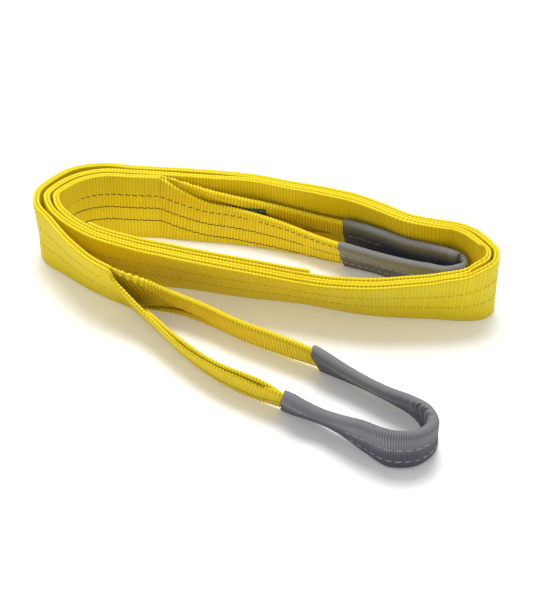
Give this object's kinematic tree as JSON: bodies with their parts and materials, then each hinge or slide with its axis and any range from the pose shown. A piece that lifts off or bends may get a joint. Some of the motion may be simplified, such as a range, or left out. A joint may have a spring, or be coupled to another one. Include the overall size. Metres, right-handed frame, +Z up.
{
  "type": "webbing lifting sling",
  "caption": "Flat yellow webbing lifting sling with a soft, sleeved eye at each end, coiled and standing on its edge.",
  "frame": {"origin": "middle of the footprint, on the ground the webbing's lower edge stands on", "axes": "+X along the coil towards its right-hand end, +Y away from the free eye towards the back of the coil, +Z up"},
  "size_m": [0.5717, 0.4313, 0.0904],
  "materials": {
    "webbing": "woven",
    "sleeve": "woven",
    "thread": "matte",
    "label": "matte"
  },
  "bodies": {
    "coil": {"body_outer_ply": "webbing", "body_inner_ply": "webbing", "body_seam_stitching": "thread", "webbing_lap": "webbing", "lap_stitching": "thread", "inner_throat_stitching": "thread", "inner_eye_webbing": "webbing", "inner_eye_sleeve": "sleeve", "inner_eye_sleeve_stitching": "thread", "identification_label": "label", "label_stitching": "thread"},
    "free_end": {"tail_outer_ply": "webbing", "tail_inner_ply": "webbing", "tail_seam_stitching": "thread", "free_throat_stitching": "thread", "free_eye_webbing": "webbing", "free_eye_sleeve": "sleeve", "free_eye_sleeve_stitching": "thread"}
  },
  "joints": [
    {"name": "free_eye_swing", "type": "hinge", "parent": "coil", "child": "free_end", "pos_m": [-0.2857, 0.1072, 0.045], "axis": [0, 0, 1], "range_deg": [-25, 0]}
  ]
}
